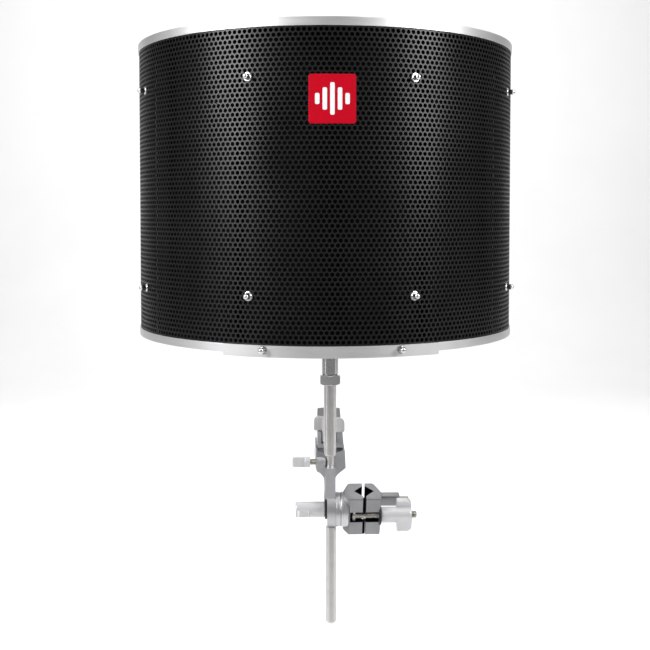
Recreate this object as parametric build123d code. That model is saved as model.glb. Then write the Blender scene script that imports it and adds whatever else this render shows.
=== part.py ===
from build123d import *
from math import sin, cos, radians
import os

# Microphone isolation shield on a stand clamp.  Millimetres, +Z up.
# The perforated back faces -Y and the open, microphone side faces +Y.
# The origin is the middle of the stand clamp's grip hole, on the tilt axis.

# ---- where the three groups sit -------------------------------------------
ARM_X = -32.4          # centre plane of the arm, beside the grip hole
AXIS_Y = 145.0         # shell axis behind the stem
MID_Z = 310.2          # shell mid-height above the tilt axis
CLAMP_TILT = 22.3      # lean of the stand clamp towards the front, degrees

# ---- shell -----------------------------------------------------------------
OUTER_R = 200.0
INNER_R = 150.0
SHEET_T = 1.2
SHELL_H = 305.0
CAP_LIP = 8.0          # height of the caps' turned-over edges
CAP_T = 1.0
CAP_R = OUTER_R + 0.1 + CAP_T
CAP_R_IN = INNER_R - 0.1 - SHEET_T - CAP_T
END_T = 1.5            # vertical channels that close the two straight edges
OUTER_WOOL = (172.6, 182.0)
FOIL = (171.9, 172.4)
INNER_WOOL = (151.4, 171.7)
ROD_CIRCLE_R = 187.0   # spacer rods and the cap screws that hold them
ROD_R = 3.0
ROD_STEP = 28.5
ROD_ANGLES = [ROD_STEP * k for k in range(-3, 4)]
BOLT_ANGLES = [-67.5, -22.5, 22.5, 67.5]
BOLT_Z = 100.0
BOLT_R = 2.0
BADGE_W = 43.0
BADGE_H = 44.5
BADGE_Z = 79.0
BADGE_T = 0.8
BAR_HEIGHTS = [10.0, 20.0, 29.0, 20.0, 10.0]

# ---- bracket and stem --------------------------------------------------------
BRACKET_ANGLE = 29.6
BRACKET_T = 2.6
BRACKET_LIP = 10.8
BRACKET_R = CAP_R + 0.1 + 2.0
BRACKET_BOLT_ANGLE = 18.0
TONGUE_W = 34.0
TONGUE_Y = 16.0        # how far the tongue runs behind the stem
COLLAR_R = 8.0
COLLAR_LEN = 23.6
STEM_R = 6.0
NUT_AF = 19.0
NUT_H = 9.4
SPIGOT_R = 4.0
SPIGOT_LEN = 9.8
TAIL_R = 3.0
TAIL_LEN = 21.5
FIT = 0.05             # radial clearance of pins and threads

# ---- arm, z from the tilt axis ---------------------------------------------
ARM_T = 10.0
BOSS_R = 16.5
RIB_TOP = 42.2
RIB_FRONT = -10.0
HEAD_FRONT = 6.3
HEAD_BACK = 65.0
HEAD_TOP = 55.6
JAW_GAP = 2.0
STUD_Y = 23.5
PIN_XS = (-8.9, 10.0)
STUD_R = 3.0
SCREW_Z = 46.4
LOWER_ROD_R = 5.0
LOWER_ROD_END = -111.5
LOWER_ROD_X = 1.0
DISC_R = 16.5
ARM_DISC = (5.0, 9.8)
CLAMP_DISC = (10.1, 17.3)
TILT_BOLT_R = 4.0

# ---- stand clamp, in its own leaning frame -----------------------------------
CLAMP_DEPTH = 25.5
CLAMP_LEN = 42.2
CLAMP_GAP = 2.6
GRIP = 9.1             # half diagonal of the square grip hole
TBOLT_Y = -9.0
TBOLT_R = 3.5
SLOT_H = 11.8
FREE_END = 16.7
SEAT_X = 14.2
WASHER_T = 1.9
WING_REACH = 14.2
TILT_WING = (0, -cos(radians(17.3)), sin(radians(17.3)))
LUG_Y = (8.7, 16.7)
LUG_Z = (-4.7, 7.4)
LUG_SCREW = (12.7, 1.1)
LUG_SCREW_X = 24.0
LUG_SCREW_R = 3.0
GUIDE_PIN = (10.4, 2.2)
GUIDE_PIN_R = 1.9
LINER_T = 2.2

ON_BASE = (Align.CENTER, Align.CENTER, Align.MIN)


def rod(p0, direction, radius, length):
    """A round bar from p0 along a direction."""
    return Plane(origin=p0, z_dir=direction).location * Cylinder(radius, length, align=ON_BASE)


def tube(p0, direction, r_in, r_out, length):
    return rod(p0, direction, r_out, length) - rod(p0, direction, r_in, length)


def block(x0, x1, y0, y1, z0, z1):
    return Pos((x0 + x1) / 2, (y0 + y1) / 2, (z0 + z1) / 2) * Box(x1 - x0, y1 - y0, z1 - z0)


def prism_z(points, z0, z1):
    """An outline in X and Y, raised along Z."""
    return Pos(0, 0, z0) * extrude(make_face(Polyline(*points, close=True)), z1 - z0)


def prism_y(points, y0, y1):
    """An outline in X and Z, run along Y."""
    face = Plane.XZ * make_face(Polyline(*points, close=True))
    return Pos(0, y1, 0) * extrude(face, y1 - y0)


def prism_x(points, x0, x1):
    """An outline in Y and Z, run along X."""
    face = Plane.YZ * make_face(Polyline(*points, close=True))
    return Pos(x0, 0, 0) * extrude(face, x1 - x0)


def polar(radius, angle, z):
    """A point by its angle from the front, -Y, growing towards +X."""
    return (radius * sin(radians(angle)), -radius * cos(radians(angle)), z)


def sector(r_in, r_out, z0, z1, a0=-90.0, a1=90.0):
    """A curved wall between two radii, heights and angles about the shell axis."""
    wall = Cylinder(r_out, z1 - z0, arc_size=a1 - a0, align=(Align.NONE, Align.NONE, Align.MIN))
    wall = Rot(0, 0, a0 - 90) * wall
    return Pos(0, 0, z0) * (wall - Cylinder(r_in, z1 - z0, align=ON_BASE))


def radial(radius, r0, r1, angle, z):
    """A round bar that points away from the shell axis."""
    return rod(polar(r0, angle, z), polar(1, angle, 0), radius, r1 - r0)


def bolt_places():
    return [(angle, z) for angle in BOLT_ANGLES for z in (-BOLT_Z, BOLT_Z)]


def drilled(solid, hole_r):
    """The solid with the eight radial bolt holes through it."""
    for angle, z in bolt_places():
        solid -= radial(hole_r, INNER_R - 10, CAP_R + 20, angle, z)
    return solid


def hexagon(across_flats, height):
    return extrude(RegularPolygon(across_flats / 2, 6, major_radius=False), height)


def bevelled_nut(across_flats, height, bore_r):
    """A hexagon nut along +Z with turned corners on both faces."""
    turned = Cylinder(across_flats / 2 * 1.15, height, align=ON_BASE)
    turned = chamfer(turned.edges().filter_by(GeomType.CIRCLE), across_flats * 0.06)
    body = hexagon(across_flats, height) & turned
    return body - Cylinder(bore_r, height, align=ON_BASE)


def wing_handle(body_r, body_len, wing_len, reach, bore_r):
    """A locking handle along +Z: a round body, then two wings set off to either side."""
    thick = body_r * 0.8
    length = body_len + wing_len
    body = Cylinder(body_r, length, align=ON_BASE)
    rims = body.edges().filter_by(GeomType.CIRCLE)
    body = chamfer(rims, 0.8)
    for side in (1, -1):
        wing = block(0, reach, -body_r, thick - body_r, body_len, length)
        ends = wing.edges().filter_by(Axis.Y).group_by(Axis.X)[-1].sort_by(Axis.Z)
        wing = fillet(ends[-1], wing_len * 0.36)
        ends = wing.edges().filter_by(Axis.Y).group_by(Axis.Z)[0].sort_by(Axis.X)
        wing = fillet(ends[-1], wing_len * 0.12)
        body += wing if side == 1 else Rot(0, 0, 180) * wing
    return body - Cylinder(bore_r, length, align=ON_BASE)


# ---- shell -------------------------------------------------------------------
def outer_perforated_sheet():
    half = SHELL_H / 2 - CAP_T
    return drilled(sector(OUTER_R - SHEET_T, OUTER_R, -half, half), BOLT_R + FIT)


def inner_perforated_sheet():
    half = SHELL_H / 2 - CAP_T
    return drilled(sector(INNER_R - SHEET_T, INNER_R, -half, half), BOLT_R + FIT)


def layer(radii):
    half = SHELL_H / 2 - CAP_T - 0.5
    return drilled(sector(radii[0], radii[1], -half, half), BOLT_R + 0.4)


def cap(sign):
    """A channel that closes one end: a flat ring with both edges turned over."""
    top = SHELL_H / 2
    ring = sector(CAP_R_IN, CAP_R, top - CAP_T, top)
    ring += sector(CAP_R - CAP_T, CAP_R, top - CAP_LIP, top)
    ring += sector(CAP_R_IN, CAP_R_IN + CAP_T, top - CAP_LIP, top)
    for angle in ROD_ANGLES:
        ring -= rod(polar(ROD_CIRCLE_R, angle, top - 10), (0, 0, 1), 2.5, 20)
    for side in (-1, 1):
        tab = block(CAP_R_IN, CAP_R, 0, END_T + 0.1 + CAP_T, top - CAP_T, top)
        tab += block(CAP_R_IN, CAP_R, END_T + 0.1, END_T + 0.1 + CAP_T, top - CAP_LIP, top)
        ring += tab if side == 1 else mirror(tab, Plane.YZ)
    return ring if sign > 0 else mirror(ring, Plane.XY)


def end_channel(side):
    """A vertical channel over one straight edge of the shell."""
    half = SHELL_H / 2 - CAP_T - 0.1
    x0 = INNER_R + 0.1
    x1 = OUTER_R - SHEET_T - 0.4
    strip = block(CAP_R_IN + CAP_T + 0.1, OUTER_R, 0, END_T, -half, half)
    strip += block(x0, x0 + CAP_T, -8, 0, -half + 9, half - 9)
    strip += block(x1 - CAP_T, x1, -8, 0, -half + 9, half - 9)
    return strip if side > 0 else mirror(strip, Plane.YZ)


def spacer_rods():
    half = SHELL_H / 2 - CAP_T - 0.05
    rods = Part()
    for angle in ROD_ANGLES:
        p0 = polar(ROD_CIRCLE_R, angle, -half)
        bar = rod(p0, (0, 0, 1), ROD_R, 2 * half)
        bar -= rod(p0, (0, 0, 1), 1.6, 12)
        bar -= rod(polar(ROD_CIRCLE_R, angle, half - 12), (0, 0, 1), 1.6, 12)
        rods += bar
    return rods


def cap_screws(sign):
    """Round-headed screws through one cap into the spacer rods."""
    screws = Part()
    for angle in ROD_ANGLES:
        seat = SHELL_H / 2 + 0.02
        under_bracket = sign < 0 and abs(angle) < BRACKET_ANGLE
        if under_bracket:
            seat += BRACKET_T + 0.1
        head = rod(polar(ROD_CIRCLE_R, angle, seat), (0, 0, 1), 4.0, 2.4)
        head = fillet(head.edges().filter_by(GeomType.CIRCLE).sort_by(Axis.Z)[-1], 1.6)
        head -= Pos(*polar(ROD_CIRCLE_R, angle, seat + 1.2)) * hexagon(2.5, 2.0)
        shank = rod(polar(ROD_CIRCLE_R, angle, seat - 11), (0, 0, 1), 1.55, 11.2)
        screws += head + shank
    return screws if sign > 0 else mirror(screws, Plane.XY)


def shell_bolts():
    """Radial bolts through all layers, domed outside and threaded inside."""
    bolts = Part()
    for angle, z in bolt_places():
        shank = radial(BOLT_R, INNER_R - SHEET_T - 4.5, OUTER_R + 6.0, angle, z)
        head = radial(2.9, OUTER_R + 5.2, OUTER_R + 8.0, angle, z)
        head = fillet(head.edges().filter_by(GeomType.CIRCLE), 1.1)
        bolts += shank + head
    return bolts


def shell_bolt_washers():
    washers = Part()
    for angle, z in bolt_places():
        ring = radial(4.4, OUTER_R + 0.05, OUTER_R + 1.05, angle, z)
        washers += ring - radial(BOLT_R + FIT, OUTER_R - 1, OUTER_R + 2, angle, z)
    return washers


def shell_bolt_spacers():
    spacers = Part()
    for angle, z in bolt_places():
        ring = radial(3.0, OUTER_R + 1.1, OUTER_R + 5.15, angle, z)
        spacers += ring - radial(BOLT_R + FIT, OUTER_R, OUTER_R + 6, angle, z)
    return spacers


def shell_bolt_nuts():
    nuts = Part()
    for angle, z in bolt_places():
        seat = Plane(
            origin=polar(INNER_R - SHEET_T - 3.3, angle, z),
            z_dir=polar(1, angle, 0),
            x_dir=(0, 0, 1),
        )
        nuts += seat.location * bevelled_nut(7.0, 3.0, BOLT_R + FIT)
    return nuts


def badge_plate():
    half = BADGE_W / 2 / OUTER_R * 57.29578
    r0 = OUTER_R + 0.05
    plate = sector(r0, r0 + BADGE_T, BADGE_Z - BADGE_H / 2, BADGE_Z + BADGE_H / 2, -half, half)
    corners = [edge for edge in plate.edges() if edge.length < 2 * BADGE_T]
    return fillet(corners, 1.5)


def badge_mark():
    """Five plain upright bars, like a level meter."""
    bars = Part()
    r0 = OUTER_R + 0.05 + BADGE_T
    for index, height in enumerate(BAR_HEIGHTS):
        angle = (index - 2) * 1.95
        bars += sector(r0, r0 + 0.4, BADGE_Z - height / 2, BADGE_Z + height / 2, angle - 0.6, angle + 0.6)
    return bars


# ---- bracket and stem ----------------------------------------------------------
BRACKET_TOP = -SHELL_H / 2 - 0.1
BRACKET_BOTTOM = BRACKET_TOP - BRACKET_T
BRACKET_BOLT_Z = BRACKET_BOTTOM + 6.8


def mounting_bracket():
    """A curved angle strip below the bottom cap, with a tongue that carries the stem."""
    body = sector(CAP_R_IN, BRACKET_R, BRACKET_BOTTOM, BRACKET_TOP, -BRACKET_ANGLE, BRACKET_ANGLE)
    lip_r = BRACKET_R - 2.0
    body += sector(
        lip_r, BRACKET_R, BRACKET_BOTTOM, BRACKET_BOTTOM + BRACKET_LIP, -BRACKET_ANGLE, BRACKET_ANGLE
    )
    y_back = -AXIS_Y + TONGUE_Y
    tongue = block(-TONGUE_W / 2, TONGUE_W / 2, -170, y_back, BRACKET_BOTTOM, BRACKET_TOP)
    corners = tongue.edges().filter_by(Axis.Z).group_by(Axis.Y)[-1]
    body += fillet(corners, 12)
    body -= rod((0, -AXIS_Y, BRACKET_BOTTOM - 1), (0, 0, 1), 2.5 + FIT, 10)
    body -= Pos(0, -AXIS_Y, BRACKET_TOP - 2.45) * Cone(2.55, 5.1, 2.5, align=ON_BASE)
    for angle in ROD_ANGLES[2:5]:
        body -= rod(polar(ROD_CIRCLE_R, angle, BRACKET_BOTTOM - 1), (0, 0, 1), 2.5, 10)
    for angle in (-BRACKET_BOLT_ANGLE, BRACKET_BOLT_ANGLE):
        body -= radial(BOLT_R + FIT, 190, 215, angle, BRACKET_BOLT_Z)
    return body


def bracket_bolts():
    bolts = Part()
    for angle in (-BRACKET_BOLT_ANGLE, BRACKET_BOLT_ANGLE):
        shank = radial(BOLT_R, OUTER_R - SHEET_T - 3.6, BRACKET_R + 6.6, angle, BRACKET_BOLT_Z)
        head = radial(2.9, BRACKET_R + 5.6, BRACKET_R + 9.0, angle, BRACKET_BOLT_Z)
        head = fillet(head.edges().filter_by(GeomType.CIRCLE), 1.2)
        bolts += shank + head
    return bolts


def bracket_bolt_spacers():
    spacers = Part()
    for angle in (-BRACKET_BOLT_ANGLE, BRACKET_BOLT_ANGLE):
        ring = radial(3.9, BRACKET_R + 0.05, BRACKET_R + 1.05, angle, BRACKET_BOLT_Z)
        ring += radial(2.8, BRACKET_R + 0.9, BRACKET_R + 5.55, angle, BRACKET_BOLT_Z)
        spacers += ring - radial(BOLT_R + FIT, 195, 215, angle, BRACKET_BOLT_Z)
    return spacers


def bracket_bolt_nuts():
    nuts = Part()
    for angle in (-BRACKET_BOLT_ANGLE, BRACKET_BOLT_ANGLE):
        seat = Plane(
            origin=polar(OUTER_R - SHEET_T - 3.1, angle, BRACKET_BOLT_Z),
            z_dir=polar(1, angle, 0),
            x_dir=polar(1, angle + 90, 0),
        )
        nuts += seat.location * bevelled_nut(6.0, 3.0, BOLT_R + FIT)
    return nuts


def bolted_rim(solid):
    """The solid with the two bracket bolt holes through it."""
    for angle in (-BRACKET_BOLT_ANGLE, BRACKET_BOLT_ANGLE):
        solid -= radial(BOLT_R + FIT, 190, 215, angle, BRACKET_BOLT_Z)
    return solid


def stem_collar():
    top = BRACKET_BOTTOM - 0.02
    collar = rod((0, -AXIS_Y, top - COLLAR_LEN), (0, 0, 1), COLLAR_R, COLLAR_LEN)
    collar = chamfer(collar.edges().filter_by(GeomType.CIRCLE), 0.8)
    collar -= rod((0, -AXIS_Y, top - COLLAR_LEN), (0, 0, 1), STEM_R + FIT, 13.0)
    return collar - rod((0, -AXIS_Y, top - 9), (0, 0, 1), 2.5 + FIT, 9)


def stem_collar_screw():
    """A countersunk screw down through the tongue into the collar, flush on top."""
    head = Pos(0, -AXIS_Y, BRACKET_TOP - 2.4) * Cone(2.5, 4.95, 2.4, align=ON_BASE)
    return head + rod((0, -AXIS_Y, BRACKET_BOTTOM - 8.5), (0, 0, 1), 2.5, 8.6)


COLLAR_BOTTOM = MID_Z + BRACKET_BOTTOM - 0.02 - COLLAR_LEN
SHOULDER_Z = RIB_TOP + 0.02 + SPIGOT_LEN


def stem_rod():
    """The stem, in arm heights: threaded top, thick shank, spigot and thin tail."""
    top = COLLAR_BOTTOM + 12.5
    shank = rod((0, 0, SHOULDER_Z), (0, 0, 1), STEM_R, top - SHOULDER_Z)
    shank = chamfer(shank.edges().filter_by(GeomType.CIRCLE), 1.2)
    spigot = rod((0, 0, RIB_TOP + 0.02), (0, 0, 1), SPIGOT_R, SPIGOT_LEN + 1)
    tail = rod((0, 0, RIB_TOP - TAIL_LEN), (0, 0, 1), TAIL_R, TAIL_LEN + 1)
    return shank + spigot + tail


def stem_jam_nut():
    nut = Rot(0, 0, 90) * bevelled_nut(NUT_AF, NUT_H, STEM_R + FIT)
    return Pos(0, 0, COLLAR_BOTTOM - 0.1 - NUT_H) * nut


# ---- arm ---------------------------------------------------------------------------
def head_outline():
    return [
        (-13.1, HEAD_TOP),
        (-13.7, 38.0),
        (-8.2, 32.2),
        (-5.9, 29.4),
        (-ARM_T / 2, 26.0),
        (ARM_T / 2, 26.0),
        (5.9, 29.4),
        (7.8, 32.2),
        (15.6, 38.3),
        (14.8, HEAD_TOP),
    ]


def vee(half, y0, y1, z):
    """A square groove standing on its corner, run along Y."""
    return prism_y([(-half, z), (0, z - half), (half, z), (0, z + half)], y0, y1)


GRIP_Z = HEAD_TOP + JAW_GAP / 2


def arm_casting():
    """The arm: a round boss, a flat web, and a head that is the upper clamp's lower jaw."""
    web = prism_x(
        [
            (RIB_FRONT, RIB_TOP),
            (RIB_FRONT, -6.0),
            (12.0, -6.0),
            (30.0, 10.0),
            (52.0, 27.0),
            (HEAD_BACK, 38.0),
            (HEAD_BACK, 46.0),
            (HEAD_FRONT, 46.0),
            (HEAD_FRONT, RIB_TOP),
        ],
        -ARM_T / 2,
        ARM_T / 2,
    )
    boss = rod((-ARM_T / 2, 0, 0), (1, 0, 0), BOSS_R, ARM_T)
    head = prism_y(head_outline(), HEAD_FRONT, HEAD_BACK)
    cheek = prism_y([(-13.2, 50.5), (-4.9, 43.0), (-4.9, 34.0), (-13.2, 38.2)], -5.0, HEAD_FRONT + 1)
    screw_boss = rod((-13.1, 0, SCREW_Z), (1, 0, 0), 4.7, 8.8)
    body = boss + web + head + cheek + screw_boss + block(-13.1, -4.3, 0, 8, 43, 50)
    body -= prism_y([(-13.0, HEAD_TOP + 0.1), (0, 51.4), (13.0, HEAD_TOP + 0.1)], HEAD_FRONT - 1, 32.0)
    body -= vee(7.0, 32.0, HEAD_BACK + 1, GRIP_Z)
    body -= rod((-20, 0, 0), (1, 0, 0), TILT_BOLT_R + FIT, 40)
    body -= rod((-ARM_T / 2 - 1, 0, 0), (1, 0, 0), BOSS_R + 0.8, 3.0)
    body -= rod((0, 0, RIB_TOP - TAIL_LEN - 1), (0, 0, 1), TAIL_R + FIT, 40)
    body -= rod((LOWER_ROD_X, 0, -BOSS_R - 1), (0, 0, 1), 3.0 + FIT, 10.0)
    body -= rod((0, STUD_Y, 30), (0, 0, 1), STUD_R + FIT, 40)
    body -= rod((-20, 0, SCREW_Z), (1, 0, 0), 3.0 + FIT, 16)
    for x in PIN_XS:
        body -= rod((x, 56.0, HEAD_TOP - 10), (0, 0, 1), 1.5 + FIT, 20)
    return body


def arm_tilt_disc():
    x0, x1 = ARM_DISC
    disc = rod((x0 + 0.02, 0, 0), (1, 0, 0), DISC_R, x1 - x0 - 0.02)
    disc = chamfer(disc.edges().filter_by(GeomType.CIRCLE), 0.7)
    return disc - rod((0, 0, 0), (1, 0, 0), TILT_BOLT_R + FIT, 20)


def lower_rod():
    """A plain rod below the boss, held by a threaded tenon."""
    top = -BOSS_R - 0.05
    bar = rod((LOWER_ROD_X, 0, LOWER_ROD_END), (0, 0, 1), LOWER_ROD_R, top - LOWER_ROD_END)
    bar = chamfer(bar.edges().filter_by(GeomType.CIRCLE).sort_by(Axis.Z)[0], 2.0)
    return bar + rod((LOWER_ROD_X, 0, top - 1), (0, 0, 1), 3.0, 9.3)


def upper_clamp_stud():
    stud = rod((0, STUD_Y, 31), (0, 0, 1), STUD_R, 57.5)
    return fillet(stud.edges().filter_by(GeomType.CIRCLE).sort_by(Axis.Z)[-1], 1.2)


def upper_clamp_guide_pins():
    pins = Part()
    for x in PIN_XS:
        pins += rod((x, 56.0, HEAD_TOP - 9.5), (0, 0, 1), 1.5, 24)
    return pins


JAW_BOTTOM = HEAD_TOP + JAW_GAP
SEAT_Z = JAW_BOTTOM + 2.5
TOWER_TOP = 90.0
TOWER_FRONT = 41.0
FOOT_FRONT = 10.0
CHEEK_FRONT = 20.0
CHEEK_TOP = 70.8


def upper_clamp_jaw():
    """The upper clamp's moving jaw: a foot, cheeks beside the handle, and a tall back."""
    side = prism_x(
        [
            (FOOT_FRONT, JAW_BOTTOM),
            (FOOT_FRONT, SEAT_Z),
            (CHEEK_FRONT, SEAT_Z),
            (CHEEK_FRONT, CHEEK_TOP),
            (TOWER_FRONT, CHEEK_TOP),
            (TOWER_FRONT, TOWER_TOP + 1.4),
            (HEAD_BACK, TOWER_TOP - 9.5),
            (HEAD_BACK, JAW_BOTTOM),
        ],
        -15,
        15,
    )
    left = (-10.9, TOWER_TOP)
    right = (11.4, TOWER_TOP)
    outline = Polyline((-11.3, JAW_BOTTOM), left) + ThreePointArc(left, (0.2, TOWER_TOP + 1.2), right)
    outline += Polyline(right, (14.3, JAW_BOTTOM), (-11.3, JAW_BOTTOM))
    front = Plane.XZ * make_face(Wire(outline.edges()))
    front = Pos(0, HEAD_BACK, 0) * extrude(front, HEAD_BACK - HEAD_FRONT)
    body = side & front
    body -= rod((0, STUD_Y, SEAT_Z), (0, 0, 1), 8.4, 40)
    body -= vee(7.0, 32.0, HEAD_BACK + 1, GRIP_Z)
    body -= rod((0, STUD_Y, 40), (0, 0, 1), STUD_R + 0.2, 60)
    for x in PIN_XS:
        body -= rod((x, 56.0, JAW_BOTTOM - 1), (0, 0, 1), 1.5 + FIT, 15.5)
    return body


def upper_clamp_washer():
    return tube((0, STUD_Y, SEAT_Z + 0.02), (0, 0, 1), STUD_R + 0.2, 7.4, 0.8)


def upper_clamp_handle():
    handle = wing_handle(7.2, 10.3, 13.7, 15.0, STUD_R + FIT)
    return Pos(0, STUD_Y, SEAT_Z + 0.85) * handle


def socket_screw():
    """The small thumb screw that holds the stem in the arm."""
    screw = rod((-19.2, 0, SCREW_Z), (1, 0, 0), 3.0, 15.05)
    hub = rod((-24.6, 0, SCREW_Z), (1, 0, 0), 5.1, 5.4)
    hub = chamfer(hub.edges().filter_by(GeomType.CIRCLE), 0.5)
    tab = block(-36.3, -24.0, -2.6, 2.6, SCREW_Z - 4.9, SCREW_Z + 4.9)
    tab = chamfer(tab.edges().filter_by(Axis.X) + tab.faces().sort_by(Axis.X)[0].edges(), 0.9)
    return screw + hub + tab


# ---- tilt lock --------------------------------------------------------------------
def tilt_bolt():
    """The tilt axle: turned by the handle and threaded into the stand clamp."""
    return rod((-28.0, 0, 0), (1, 0, 0), TILT_BOLT_R, 48.0)


def tilt_washer():
    return tube((-ARM_T / 2 + 0.05, 0, 0), (1, 0, 0), TILT_BOLT_R + FIT, 9.2, WASHER_T)


def tilt_handle():
    handle = wing_handle(7.4, 15.0, 13.4, WING_REACH, TILT_BOLT_R + FIT)
    turned = Plane(origin=(-ARM_T / 2 - 0.02, 0, 0), z_dir=(-1, 0, 0), x_dir=TILT_WING)
    return turned.location * handle


def clamp_tilt_disc():
    """The stand clamp's half of the tilt joint."""
    x0, x1 = CLAMP_DISC
    disc = rod((x0, 0, 0), (1, 0, 0), DISC_R, x1 - x0)
    disc = chamfer(disc.edges().filter_by(GeomType.CIRCLE), 0.7)
    disc -= rod((0, 0, 0), (1, 0, 0), TILT_BOLT_R + FIT, 20)
    return disc


# ---- stand clamp -------------------------------------------------------------------
FIXED_END = ARM_X + 12.6
HALF_D = CLAMP_DEPTH / 2
HALF_L = CLAMP_LEN / 2


def grip_hole():
    return prism_z([(-GRIP - 0.4, 0), (0, -GRIP), (GRIP + 0.4, 0), (0, GRIP)], -HALF_L - 1, HALF_L + 1)


def rounded_corner(body, x, y, radius):
    """The prism with its upright edge at (x, y) rounded."""
    return fillet(body.edges().filter_by(Axis.Z).sort_by_distance((x, y, 0))[0], radius)


def stand_clamp_fixed_jaw():
    x_in = -CLAMP_GAP / 2
    outline = [
        (x_in, -HALF_D),
        (FIXED_END + 5.6, -HALF_D),
        (FIXED_END, -4.0),
        (FIXED_END, HALF_D - 11.0),
        (FIXED_END + 5.0, HALF_D),
        (x_in, HALF_D),
    ]
    body = rounded_corner(prism_z(outline, -HALF_L, HALF_L), FIXED_END, HALF_D - 11.0, 5.0)
    body = rounded_corner(body, FIXED_END + 5.0, HALF_D, 3.0)
    body = chamfer(body.edges().filter_by(Axis.Z, reverse=True).filter_by(Axis.X), 0.8)
    body -= grip_hole()
    body -= rod((-60, 0, 0), (1, 0, 0), DISC_R + 0.02, 60 - (-ARM_X - CLAMP_DISC[1]) + 0.02)
    body -= rod((-60, 0, 0), (1, 0, 0), TILT_BOLT_R + FIT, 60 - 11.8)
    body -= block(-13.7, 0, -HALF_D - 1, -5.0, -SLOT_H / 2, SLOT_H / 2)
    body -= rod((-9.6, TBOLT_Y, -11), (0, 0, 1), 2.0 + FIT, 22)
    body -= rod((-13.0, *GUIDE_PIN), (1, 0, 0), GUIDE_PIN_R, 20)
    return body


def stand_clamp_cross_pin():
    return rod((-9.6, TBOLT_Y, -10.8), (0, 0, 1), 2.0, 21.6)


def stand_clamp_bolt():
    """The clamp bolt: an eye on the cross pin, a collar at the gap, a long thread."""
    end = SEAT_X + WASHER_T + 15.0 + 14.4 + 5.4
    bolt = rod((-11.6, TBOLT_Y, 0), (1, 0, 0), TBOLT_R, end + 11.6)
    bolt = fillet(bolt.edges().filter_by(GeomType.CIRCLE).sort_by(Axis.X)[-1], 1.4)
    bolt += rod((-1.0, TBOLT_Y, 0), (1, 0, 0), TBOLT_R + 0.4, 2.6)
    return bolt - rod((-9.6, TBOLT_Y, -11), (0, 0, 1), 2.0 + FIT, 22)


def stand_clamp_free_jaw():
    x_in = CLAMP_GAP / 2
    outline = [
        (x_in, -HALF_D),
        (SEAT_X + 1.0, -HALF_D),
        (FREE_END, -4.0),
        (FREE_END, HALF_D - 14.0),
        (FREE_END - 7.0, HALF_D),
        (x_in, HALF_D),
    ]
    body = rounded_corner(prism_z(outline, -HALF_L, HALF_L), FREE_END, HALF_D - 14.0, 8.0)
    body = rounded_corner(body, FREE_END - 7.0, HALF_D, 4.0)
    body = chamfer(body.edges().filter_by(Axis.X), 0.8)
    lug = block(6.0, 36.0, *LUG_Y, *LUG_Z)
    lug = fillet(lug.edges().filter_by(Axis.X) + lug.faces().sort_by(Axis.X)[-1].edges(), 1.8)
    body += lug
    body -= rod((LUG_SCREW_X, *LUG_SCREW), (1, 0, 0), LUG_SCREW_R + FIT, 20)
    body -= grip_hole()
    body -= block(0, 30, -HALF_D - 8, -5.0, -SLOT_H / 2, SLOT_H / 2)
    body -= rod((SEAT_X, TBOLT_Y, 0), (1, 0, 0), 9.9, 6)
    body -= rod((0, *GUIDE_PIN), (1, 0, 0), GUIDE_PIN_R + FIT, 16.2)
    return body


def stand_clamp_gap_liner():
    """A black strip that fills the front of the gap, with a window for the bolt's collar."""
    x0 = -CLAMP_GAP / 2 + 0.02
    strip = block(x0, x0 + LINER_T, -HALF_D + 1.2, -GRIP - 0.05, -HALF_L + 0.4, HALF_L - 0.4)
    return strip - rod((-5, TBOLT_Y, 0), (1, 0, 0), TBOLT_R + 0.5, 10)


def stand_clamp_lug_screw():
    screw = rod((LUG_SCREW_X + 0.05, *LUG_SCREW), (1, 0, 0), LUG_SCREW_R, 21.2)
    return fillet(screw.edges().filter_by(GeomType.CIRCLE).sort_by(Axis.X)[-1], 0.9)


def stand_clamp_guide_pin():
    return rod((-12.9, *GUIDE_PIN), (1, 0, 0), GUIDE_PIN_R - 0.01, 26.5)


def stand_clamp_washer():
    return tube((SEAT_X + 0.02, TBOLT_Y, 0), (1, 0, 0), TBOLT_R + 0.2, 9.5, WASHER_T - 0.04)


def stand_clamp_handle():
    handle = wing_handle(7.5, 15.0, 14.4, WING_REACH, TBOLT_R + FIT)
    turned = Plane(origin=(SEAT_X + WASHER_T + 0.05, TBOLT_Y, 0), z_dir=(1, 0, 0), x_dir=(0, 0, -1))
    return turned.location * handle


# ---- write every sub-part in the shared frame ---------------------------------------
IN_SHELL = Pos(ARM_X, AXIS_Y, MID_Z)
IN_ARM = Pos(ARM_X, 0, 0)
IN_CLAMP = Rot(CLAMP_TILT, 0, 0)

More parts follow.
